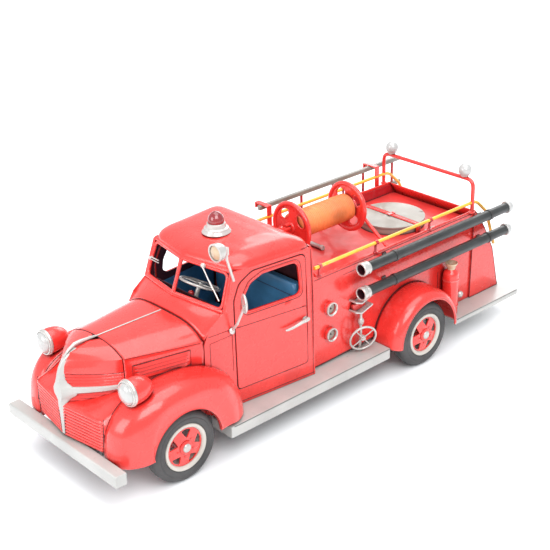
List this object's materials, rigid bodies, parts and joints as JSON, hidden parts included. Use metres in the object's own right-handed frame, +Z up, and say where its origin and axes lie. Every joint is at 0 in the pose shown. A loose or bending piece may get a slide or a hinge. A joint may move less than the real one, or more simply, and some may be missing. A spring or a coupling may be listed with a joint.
{
  "type": "toy fire engine",
  "caption": "Tinplate toy fire engine with a rounded cab, hose reel, ladder, suction hoses, rolling wheels and swinging doors.",
  "frame": {"origin": "on the ground, midway along the length, width centred on the vehicle", "axes": "+X to the nose, +Y to the vehicle's left side, +Z up"},
  "size_m": [0.4, 0.1386, 0.1494],
  "materials": {
    "red_paint": "glossy hand-sprayed enamel",
    "silver_paint": "satin aluminium paint",
    "cream_paint": "satin enamel",
    "yellow_paint": "gloss enamel",
    "black_paint": "satin enamel",
    "ladder_grey": "satin enamel",
    "bright_trim": "bright painted tin",
    "bare_steel": "drawn wire",
    "tyre": "matt rubber",
    "black_hose": "satin rubber tube",
    "orange_hose": "satin painted winding",
    "seat_blue": "satin enamel",
    "dark_interior": "dark satin enamel",
    "lens_white": "glossy bead",
    "beacon_red": "dark red glass bead"
  },
  "bodies": {
    "engine": {"axles": "bare_steel", "beacon_base": "bright_trim", "beacon_lens": "beacon_red", "bed_deck": "red_paint", "body_shell": "red_paint", "cab_floor": "dark_interior", "cab_roof": "red_paint", "cab_shell": "red_paint", "chassis_frame": "black_paint", "extinguisher": "red_paint", "front_bumper": "silver_paint", "front_fender_left": "red_paint", "front_fender_right": "red_paint", "gear_lever": "red_paint", "grille_apron": "red_paint", "handrails": "yellow_paint", "headlight_lenses": "lens_white", "headlight_rims": "bright_trim", "headlight_shells": "red_paint", "hood": "red_paint", "hood_strip": "bright_trim", "hoop_lamps": "lens_white", "hose_clips": "black_paint", "hose_couplings": "bright_trim", "ladder": "ladder_grey", "ladder_brackets": "red_paint", "mirror_and_mast": "bright_trim", "nose_cap": "red_paint", "nose_trim": "bright_trim", "pump_fittings": "bright_trim", "rear_fenders": "red_paint", "rear_hoop": "red_paint", "rear_step": "silver_paint", "reel_stand": "red_paint", "running_boards": "silver_paint", "seat": "seat_blue", "steering_column": "bright_trim", "suction_hoses": "black_hose", "tail_panels": "red_paint", "tank_lids": "cream_paint", "tank_strap": "red_paint", "tank_tub": "cream_paint", "windshield_frame": "red_paint", "wipers": "bright_trim"},
    "wheel_front_left": {"tyre_front_left": "tyre", "wheel_front_left": "red_paint"},
    "wheel_front_right": {"tyre_front_right": "tyre", "wheel_front_right": "red_paint"},
    "wheel_rear_left": {"tyre_rear_left": "tyre", "wheel_rear_left": "red_paint"},
    "wheel_rear_right": {"tyre_rear_right": "tyre", "wheel_rear_right": "red_paint"},
    "reel": {"hose_reel": "red_paint", "hose_winding": "orange_hose"},
    "steering": {"steering_wheel": "bright_trim"},
    "left_door": {"door_left": "red_paint"},
    "right_door": {"door_right": "red_paint"},
    "spotlight_head": {"spotlight": "bright_trim"},
    "pump_wheel": {"hand_wheel": "bright_trim"}
  },
  "joints": [
    {"name": "front_left_roll", "type": "hinge", "parent": "engine", "child": "wheel_front_left", "pos_m": [0.1425, 0.054, 0.0254], "axis": [0, 1, 0], "continuous": true},
    {"name": "front_right_roll", "type": "hinge", "parent": "engine", "child": "wheel_front_right", "pos_m": [0.1425, -0.054, 0.0254], "axis": [0, 1, 0], "continuous": true},
    {"name": "rear_left_roll", "type": "hinge", "parent": "engine", "child": "wheel_rear_left", "pos_m": [-0.0825, 0.061, 0.0254], "axis": [0, 1, 0], "continuous": true},
    {"name": "rear_right_roll", "type": "hinge", "parent": "engine", "child": "wheel_rear_right", "pos_m": [-0.0825, -0.061, 0.0254], "axis": [0, 1, 0], "continuous": true},
    {"name": "reel_turn", "type": "hinge", "parent": "engine", "child": "reel", "pos_m": [-0.0375, 0, 0.116], "axis": [1, 0, 0], "continuous": true},
    {"name": "steering_turn", "type": "hinge", "parent": "engine", "child": "steering", "pos_m": [0.08, 0.003, 0.102], "axis": [-0.45, 0, 0.893], "continuous": true},
    {"name": "left_door_swing", "type": "hinge", "parent": "engine", "child": "left_door", "pos_m": [0.0843, 0.04427, 0.08], "axis": [0, 0, -1], "range_deg": [0, 65]},
    {"name": "right_door_swing", "type": "hinge", "parent": "engine", "child": "right_door", "pos_m": [0.0843, -0.04427, 0.08], "axis": [0, 0, 1], "range_deg": [0, 65]},
    {"name": "spotlight_swivel", "type": "hinge", "parent": "engine", "child": "spotlight_head", "pos_m": [0.0884, 0.0432, 0.14], "axis": [0, 0, 1], "range_deg": [-80, 80]},
    {"name": "pump_wheel_turn", "type": "hinge", "parent": "engine", "child": "pump_wheel", "pos_m": [-0.0285, 0.053, 0.038], "axis": [0.3561, 0.9072, -0.224], "continuous": true}
  ]
}
